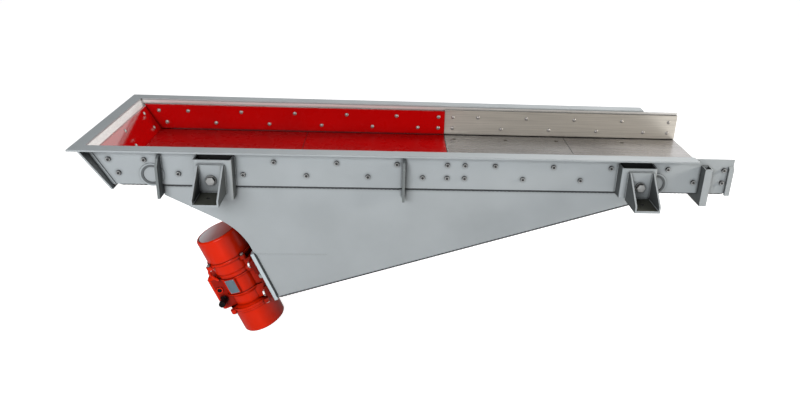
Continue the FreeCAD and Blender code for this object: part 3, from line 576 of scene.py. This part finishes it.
# Unbalance motors: cast housings, covers and box lids in glossy orange-red enamel, bolted to
# the inclined plate. Painted shade darkens the enamel towards the plate.
MOTOR_ORIGINS = [np.array([-0.970377, y, -0.574382]) for y in (-0.236, 0.236)]
MOTOR_AXES = np.array([[-0.92186, 0.0, -0.38752], [0.0, -1.0, 0.0], [-0.38752, 0.0, 0.92186]])


def away_from_plate(tree, start, end, first):
    """Level from first to 1 between two distances from the motors' axes, away from the plate."""
    place = tree.nodes.new("ShaderNodeTexCoord")
    along = tree.nodes.new("ShaderNodeVectorMath")
    along.operation = "DOT_PRODUCT"
    along.inputs[1].default_value = MOTOR_AXES[0]
    tree.links.new(place.outputs["Object"], along.inputs[0])
    middle = float(MOTOR_ORIGINS[0] @ MOTOR_AXES[0])
    return mapped(tree, along.outputs["Value"], middle + start, middle + end, first)


def shaded_towards_plate(tree, colour):
    """The colour, cut to about a fifth as painted shade on the motors' side facing the plate."""
    return scaled(tree, colour, away_from_plate(tree, -0.130, -0.02, 0.22))


motor_paint = paint("motor_paint", (0.76, 0.020, 0.0015), 0.16, 0.24,
                    shine=0.15, coat=0.12, corner=0.15)
recolour(motor_paint, shaded_towards_plate)
for side in SIDES:
    dress(motor_paint, "motor_housing" + side, "upper_cover" + side, "lower_cover" + side)
dress(motor_paint, "terminal_lids")

# Terminal boxes: cast with the housings. Their flanks under the lid are painted darker as shade.
BOX_HALF_WIDTH, BOX_ROOT = 60.0, 60.0
box_shade = paint("box_shade", (0.36, 0.010, 0.003), 0.25, 0.35, shine=0.2, pocket=0.4)
for side, origin in zip(SIDES, MOTOR_ORIGINS):
    centres, normals = faces_of("motor_housing" + side)
    place = (centres - origin) @ MOTOR_AXES.T * 1000.0
    on_flank = np.abs(np.abs(place[:, 1]) - BOX_HALF_WIDTH) < 1.0
    facing = np.abs(normals @ MOTOR_AXES[1]) > 0.9
    dress_part(box_shade, "motor_housing" + side, facing & on_flank & (place[:, 0] > BOX_ROOT))

# Cable glands are black moulded plastic, screwed into the boxes. The nameplates are bare
# blue-grey anodised sheet, riveted to the housings.
black_plastic = paint("black_plastic", (0.006, 0.006, 0.0065), 0.35, 0.5, shine=0.12)
dress(black_plastic, "cable_glands")
plate_alloy = brushed("plate_alloy", (0.17, 0.25, 0.31), 0.35, 0.5, (1.0, 1.0, 0.1), 0.4)
dress(plate_alloy, "nameplates")

# Covers' outer ends: pressed dishes, sunk a little towards the middle, in the red enamel painted
# darker as shade. The upper ones carry a painted pale sheen, strong on their low side and faint
# towards the plate.
DISH_RADIUS, DISH_SINK, DISH_THICKNESS, DISH_END = 0.0975, 0.0058, 0.0066, 287.2


def in_motor(origin, point):
    """A point given in millimetres along a motor's own axes, in the shared frame."""
    return origin + np.asarray(point, float) / 1000.0 @ MOTOR_AXES


def turned(origin, axis, radii, heights, sides=32):
    """A shape turned round an axis: ring i has radius i at height i, and point (i, j) lies on it
    at the angle j / sides of a full turn."""
    axis = np.asarray(axis, float)
    first = np.cross(axis, (0.31, 0.87, 0.38))
    first /= np.linalg.norm(first)
    second = np.cross(axis, first)
    angle = 2 * math.pi * np.arange(sides) / sides
    spokes = np.outer(np.cos(angle), first) + np.outer(np.sin(angle), second)
    rings = np.asarray(radii, float)[:, None, None] * spokes
    return np.asarray(origin, float) + np.outer(heights, axis)[:, None] + rings, False


def sheened_away_from_plate(tree, colour):
    """The colour, under a painted pale sheen that grows with the distance from the plate."""
    thin, half, thick = ((level,) * 3 for level in (0.0, 0.25, 1.0))
    sheen_level = ramp(tree, away_from_plate(tree, -0.105, 0.105, 0.0),
                [(0.15, thin), (0.55, half), (0.95, thick)])
    return blended(tree, sheen_level, colour, (0.95, 0.90, 0.93, 1.0))


dish_shade_paint = paint("dish_shade_paint", (0.42, 0.055, 0.04), 0.3, 0.4,
                   shine=0.3, corner=0.4, pocket=0.6, skin=0.03)
sheened_dish = dish_shade_paint.copy()
sheened_dish.name = "sheened_dish"
recolour(sheened_dish, sheened_away_from_plate)
inward = np.linspace(1.0, 0.004, 24)
radii = DISH_RADIUS * np.concatenate([[1.0], inward])
heights = np.concatenate([[-DISH_THICKNESS], -DISH_SINK * (1.0 - inward ** 2)])
for name, end, finish in (("upper_cover_dishes", 1.0, sheened_dish),
                          ("lower_cover_dishes", -1.0, dish_shade_paint)):
    dishes = [turned(in_motor(origin, (0.0, 0.0, end * DISH_END)), end * MOTOR_AXES[2],
                     radii, heights, 64) for origin in MOTOR_ORIGINS]
    add_piece(name, dishes, finish)

# Lips and arms of the housings: a flared rim stands on the lower collar like a dish round the
# bell, a rounded lip on the upper one, and a curved arm joins the upper lug to the box.
COLLAR_RADIUS = 116.5
FLARED_RIM = np.array([(3.0, -12.0), (-3.2, 11.0), (-3.8, 12.6), (-5.6, 12.6), (-6.2, 11.0),
                       (-0.5, -12.0)]) / 1000.0
ARM_CORNERS = np.array([(96.0, 88.0, 134.0), (118.0, 82.0, 108.0), (112.0, 70.0, 84.0),
                        (88.0, 74.0, 52.0)])
lips, arms = [], []
around = 2 * math.pi * np.arange(96) / 96
angle = 2 * math.pi * np.arange(16) / 16
rounded_lip = 0.003 * np.column_stack([np.cos(angle), np.sin(angle)])
circle = COLLAR_RADIUS * np.column_stack([np.cos(around), np.sin(around), np.zeros(96)])
along = np.linspace(0.0, 1.0, 40)[:, None]
curve = ((1 - along) ** 3 * ARM_CORNERS[0] + 3 * (1 - along) ** 2 * along * ARM_CORNERS[1]
         + 3 * (1 - along) * along ** 2 * ARM_CORNERS[2] + along ** 3 * ARM_CORNERS[3])
for origin in MOTOR_ORIGINS:
    for z, profile in ((-139.0, FLARED_RIM), (152.0, rounded_lip)):
        ring = in_motor(origin, circle + (0.0, 0.0, z))
        lips.append(swept(ring, profile, MOTOR_AXES[2], closed=True))
    arms.append(swept(in_motor(origin, curve), round_profile(0.0075, 16), MOTOR_AXES[0]))
add_piece("collar_lips", lips, motor_paint)
add_piece("housing_arms", arms, motor_paint)

# Small parts of the motors: screws in the box lids, rivets in the nameplates, back nuts of
# the glands and a black plug in the spare cable entry, and earth screws on the feet.
LID_SCREW_Y, LID_SCREW_Z = (-48.0, 48.0), (-120.0, 61.0)
LID_TOP, PLATE_FACE = 149.5, 109.4
tilt = math.radians(76.0)
outward = np.array([math.cos(tilt), math.sin(tilt), 0.0])
sideways = np.array([-math.sin(tilt), math.cos(tilt), 0.0])
dome = np.linspace(0.0, 1.45, 8)
screws, rivets, gland_nuts, plugs, earths = [], [], [], [], []
for origin in MOTOR_ORIGINS:
    for y in LID_SCREW_Y:
        for z in LID_SCREW_Z:
            screws.append(turned(in_motor(origin, (LID_TOP, y, z)), MOTOR_AXES[0],
                                 [0.0055, 0.0055, 0.0048, 0.0028, 0.0026],
                                 [0.0, 0.0032, 0.004, 0.004, 0.002], 24))
    for across in (-22.0, 22.0):
        for z in (-27.0, 43.0):
            place = PLATE_FACE * outward + across * sideways + (0.0, 0.0, z)
            rivets.append(turned(in_motor(origin, place), outward @ MOTOR_AXES,
                                 0.0022 * np.cos(dome), 0.0014 * np.sin(dome), 16))
    gland_nuts.append(turned(in_motor(origin, (116.0, 65.0, -64.0)), MOTOR_AXES[1],
                             [0.0205, 0.0215, 0.0215, 0.0195], [0.0, 0.0012, 0.009, 0.0105], 6))
    plugs.append(turned(in_motor(origin, (116.0, 60.0, -9.0)), MOTOR_AXES[1],
                        np.concatenate([[0.0104, 0.0104], 0.0118 * np.cos(dome)]),
                        np.concatenate([[0.0, 0.0052], 0.0053 + 0.0022 * np.sin(dome)]), 24))
    earths.append(turned(in_motor(origin, (-143.0, 111.5, 15.0)), MOTOR_AXES[1],
                         [0.0135, 0.0135, 0.0125], [0.0, 0.002, 0.0025], 32))
    earths.append(turned(in_motor(origin, (-143.0, 113.5, 15.0)), MOTOR_AXES[1],
                         [0.0105, 0.0110, 0.0110, 0.0096], [0.0, 0.0006, 0.0076, 0.0088], 6))
add_piece("lid_screws", screws, zinc)
add_piece("plate_rivets", rivets, zinc)
add_piece("gland_nuts", gland_nuts, black_plastic)
add_piece("entry_plugs", plugs, black_plastic)
add_piece("earth_screws", earths, zinc)

# Inside the motors: cast end shields and weights, varnished stators, and ground shafts with
# their cores and bearings.
cast_iron = paint("cast_iron", (0.10, 0.10, 0.105), 0.5, 0.7)
varnished = paint("varnished_windings", (0.22, 0.07, 0.02), 0.3, 0.45, coat=0.3)
ground_steel = brushed("ground_steel", (0.55, 0.55, 0.56), 0.2, 0.35, EVEN, 1.0)
for side in SIDES:
    dress(cast_iron, "upper_end_shield" + side, "lower_end_shield" + side,
          "eccentric_weights" + side)
    dress(varnished, "stator" + side)
    dress(ground_steel, "rotor_shaft" + side, "rotor_core" + side, "bearings" + side)

# Studio floor: one pale square under the feeder, white to the camera. Gloss sees it dark at
# the inlet side and light towards the outlet, like a room with one bright end.
FLOOR_Z, FLOOR_REACH = cad_low.z - 0.02, 30.0
floor_sheet = bpy.data.meshes.new("floor")
corners = FLOOR_REACH * np.array([(-1, -1), (1, -1), (1, 1), (-1, 1)])
points = np.column_stack([corners, np.full(4, FLOOR_Z)])
floor_sheet.from_pydata(points.tolist(), [], [(0, 1, 2, 3)])
floor = bpy.data.objects.new("floor", floor_sheet)
bpy.context.collection.objects.link(floor)
pale, tree, shader = new_material("pale_floor")
tree.links.new(ramp(tree, noise(tree, 0.4), [(0.3, (0.48, 0.48, 0.48)), (0.7, (0.52, 0.52, 0.52))]),
               shader.inputs["Base Color"])
shader.inputs["Roughness"].default_value = 0.9
shader.inputs["Emission Color"].default_value = (1.0, 1.0, 1.0, 1.0)
path = tree.nodes.new("ShaderNodeLightPath")
bright_end = mapped(tree, along_axis(tree, "X"), 0.6, 2.6, 0.12, 0.9)
in_gloss = worked(tree, "MULTIPLY", path.outputs["Is Glossy Ray"], bright_end)
seen = worked(tree, "MAXIMUM", path.outputs["Is Camera Ray"], in_gloss)
tree.links.new(worked(tree, "MULTIPLY", seen, 0.95), shader.inputs["Emission Strength"])
floor.data.materials.append(pale)
floor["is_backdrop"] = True

# Studio walls: white to the camera, faint to everything else. Gloss sees them brighter low
# down, at the back and at the outlet side.
world = bpy.data.worlds.new("studio")
bpy.context.scene.world = world
world.use_nodes = True
tree = world.node_tree
sky = tree.nodes["Background"]
sky.inputs["Color"].default_value = (1.0, 1.0, 1.0, 1.0)
path = tree.nodes.new("ShaderNodeLightPath")
direction = tree.nodes.new("ShaderNodeTexCoord")
split = tree.nodes.new("ShaderNodeSeparateXYZ")
tree.links.new(direction.outputs["Generated"], split.inputs["Vector"])
low_down = mapped(tree, split.outputs["Z"], 0.35, 0.8, 1.0, 0.25)
at_back = mapped(tree, split.outputs["Y"], -0.3, 0.3, 0.22)
at_outlet = mapped(tree, split.outputs["X"], -0.40, -0.20, 0.08)
shaped = worked(tree, "MULTIPLY", worked(tree, "MULTIPLY", low_down, at_back), at_outlet)
plain = blended(tree, path.outputs["Is Glossy Ray"], 0.07, shaped, "FLOAT")
tree.links.new(blended(tree, path.outputs["Is Camera Ray"], plain, 1.0, "FLOAT"),
               sky.inputs["Strength"])

# Lamps: a broad soft one in front at the inlet side, one above at the back, and a small warm
# one at the outlet.


def soft_light(name, place, target, size, power, colour=(1.0, 1.0, 1.0)):
    """A rectangular area lamp at a place, aimed at a target."""
    data = bpy.data.lights.new(name, "AREA")
    data.shape = "RECTANGLE"
    data.size, data.size_y = size
    data.energy = power
    data.color = colour
    lamp = bpy.data.objects.new(name, data)
    lamp.location = place
    aim = Vector(target) - Vector(place)
    lamp.rotation_mode = "QUATERNION"
    lamp.rotation_quaternion = aim.to_track_quat("-Z", "Y")
    bpy.context.collection.objects.link(lamp)


soft_light("front_light", (-1.9, -5.2, 2.1), (-0.3, 0.0, -0.1), (3.6, 2.2), 266.0)
soft_light("back_light", (2.4, 2.6, 3.6), (0.2, 0.0, 0.0), (3.0, 1.5), 165.0)
soft_light("outlet_light", (4.4, -1.1, 1.3), (1.2, 0.3, 0.1), (1.2, 0.8), 110.0,
           (1.0, 0.93, 0.83))

# Camera: in front of the trough and a little towards the inlet, 1.4 m above the seats,
# looking down by 21 degrees and turned by 5, with the picture's off-centre frame as a shift.
CAMERA_PLACE = (-0.20306, -3.46549, 1.40891)
CAMERA_YAW, CAMERA_PITCH, CAMERA_ROLL = -0.0835, 0.3630, 0.0505
camera = bpy.data.cameras.new("camera")
camera.sensor_width = 36.0
camera.lens = 30.879
camera.shift_x, camera.shift_y = -0.0534, -0.0656
camera_object = bpy.data.objects.new("camera", camera)
camera_object.location = CAMERA_PLACE
turn = (Matrix.Rotation(CAMERA_YAW, 4, "Z") @ Matrix.Rotation(math.pi / 2 - CAMERA_PITCH, 4, "X")
        @ Matrix.Rotation(CAMERA_ROLL, 4, "Z"))
camera_object.rotation_mode = "QUATERNION"
camera_object.rotation_quaternion = turn.to_quaternion()
bpy.context.collection.objects.link(camera_object)
bpy.context.scene.camera = camera_object
bpy.context.scene.view_settings.view_transform = "Standard"

low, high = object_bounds()
